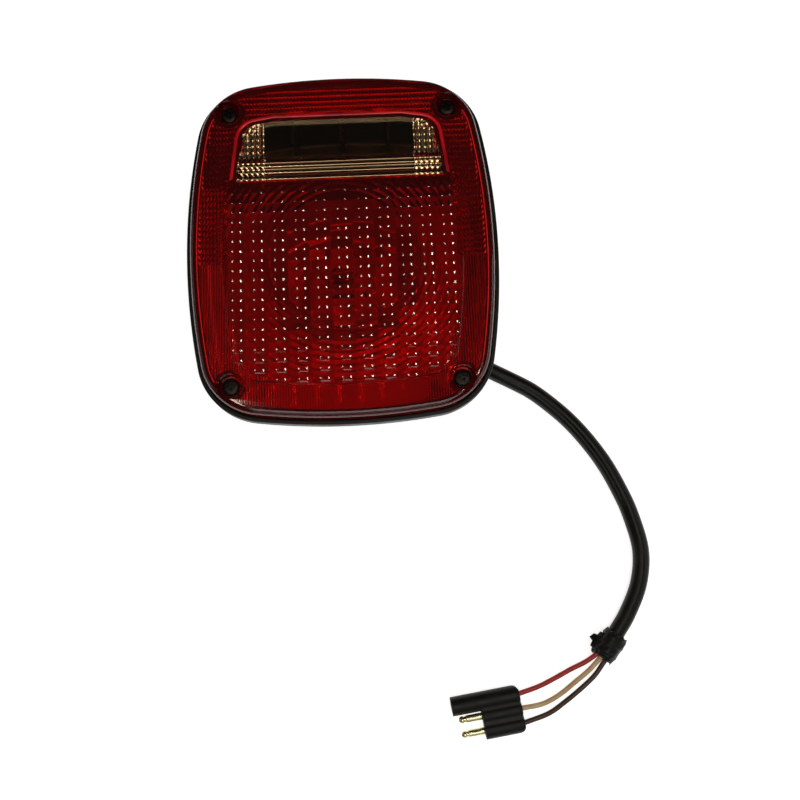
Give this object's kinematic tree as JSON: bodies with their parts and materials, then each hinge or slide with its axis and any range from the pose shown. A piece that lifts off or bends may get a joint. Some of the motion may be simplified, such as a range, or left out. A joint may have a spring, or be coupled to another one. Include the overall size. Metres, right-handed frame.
{
  "type": "trailer tail light",
  "caption": "Rectangular trailer tail light: black tub on studs, red lens with clear window, bayonet bulb in a sprung socket, sheathed lead with a flat connector.",
  "frame": {"origin": "middle of the lamp, on the surface that the stud tips stand on (the free lead and its connector are left out of the box)", "axes": "+Z out of the lens, +Y towards the lamp's top (the clear window), +X to the right seen from the front"},
  "size_m": [0.2204, 0.3185, 0.0752],
  "materials": {
    "housing_black": "moulded black polypropylene",
    "lens_red": "clear red acrylic",
    "window_clear": "clear acrylic",
    "gasket_foam": "closed-cell foam",
    "stud_zinc": "zinc-plated",
    "reflector_metal": "satin metallised",
    "bracket_steel": "yellow-passivated zinc",
    "brass": "plain brass",
    "spring_steel": "bright wire",
    "phenolic": "brown phenolic board",
    "bulb_glass": "clear glass",
    "bulb_insulator": "black vitrite",
    "solder": "dull solder",
    "filament_wire": "drawn wire",
    "screw_dark": "dark passivated steel",
    "rubber_black": "moulded rubber",
    "sheath_black": "soft vinyl sleeve",
    "tape_black": "vinyl tape",
    "insulation_red": "vinyl insulation",
    "insulation_white": "aged white vinyl insulation",
    "insulation_brown": "vinyl insulation",
    "pin_brass": "pale plated brass"
  },
  "bodies": {
    "lamp_base": {"housing": "housing_black", "lens_gasket": "gasket_foam", "mounting_studs": "stud_zinc", "reflector": "reflector_metal", "socket_bracket": "bracket_steel", "bracket_rivets": "stud_zinc", "socket_shell": "brass", "contact_spring": "spring_steel", "lead_red": "insulation_red", "lead_brown": "insulation_brown", "lead_white": "insulation_white", "cable_grommet": "rubber_black", "cable_sheath": "sheath_black", "tape_wrap": "tape_black", "wire_red": "insulation_red", "wire_white": "insulation_white", "wire_brown": "insulation_brown", "connector_body": "rubber_black", "connector_pins": "pin_brass", "connector_sleeve": "pin_brass"},
    "lens_cap": {"lens": "lens_red", "clear_window": "window_clear"},
    "screw_1": {"lens_screw_1": "screw_dark"},
    "screw_2": {"lens_screw_2": "screw_dark"},
    "screw_3": {"lens_screw_3": "screw_dark"},
    "screw_4": {"lens_screw_4": "screw_dark"},
    "bulb": {"bulb_glass": "bulb_glass", "bulb_base": "brass", "bulb_pins": "brass", "bulb_insulator": "bulb_insulator", "bulb_contacts": "solder", "bulb_stem": "bulb_glass", "filament_supports": "filament_wire", "filaments": "filament_wire"},
    "contacts": {"contact_carrier": "phenolic", "contact_buttons": "brass"}
  },
  "joints": [
    {"name": "lens_lift", "type": "slide", "parent": "lamp_base", "child": "lens_cap", "axis": [0, 0, 1], "range_m": [0, 0.06]},
    {"name": "screw_1_out", "type": "slide", "parent": "lens_cap", "child": "screw_1", "axis": [0, 0, 1], "range_m": [0, 0.03]},
    {"name": "screw_2_out", "type": "slide", "parent": "lens_cap", "child": "screw_2", "axis": [0, 0, 1], "range_m": [0, 0.03]},
    {"name": "screw_3_out", "type": "slide", "parent": "lens_cap", "child": "screw_3", "axis": [0, 0, 1], "range_m": [0, 0.03]},
    {"name": "screw_4_out", "type": "slide", "parent": "lens_cap", "child": "screw_4", "axis": [0, 0, 1], "range_m": [0, 0.03]},
    {"name": "bulb_push", "type": "slide", "parent": "lamp_base", "child": "bulb", "axis": [0, 0, -1], "range_m": [0, 0.002], "stiffness_N_per_m": 1500, "springref_m": -0.006},
    {"name": "contact_travel", "type": "slide", "parent": "lamp_base", "child": "contacts", "axis": [0, 0, -1], "range_m": [0, 0.002], "deforming": ["contact_spring", "lead_red", "lead_brown"]}
  ],
  "couplings": [
    {"joint": "contact_travel", "follows": "bulb_push", "ratio": 1}
  ]
}
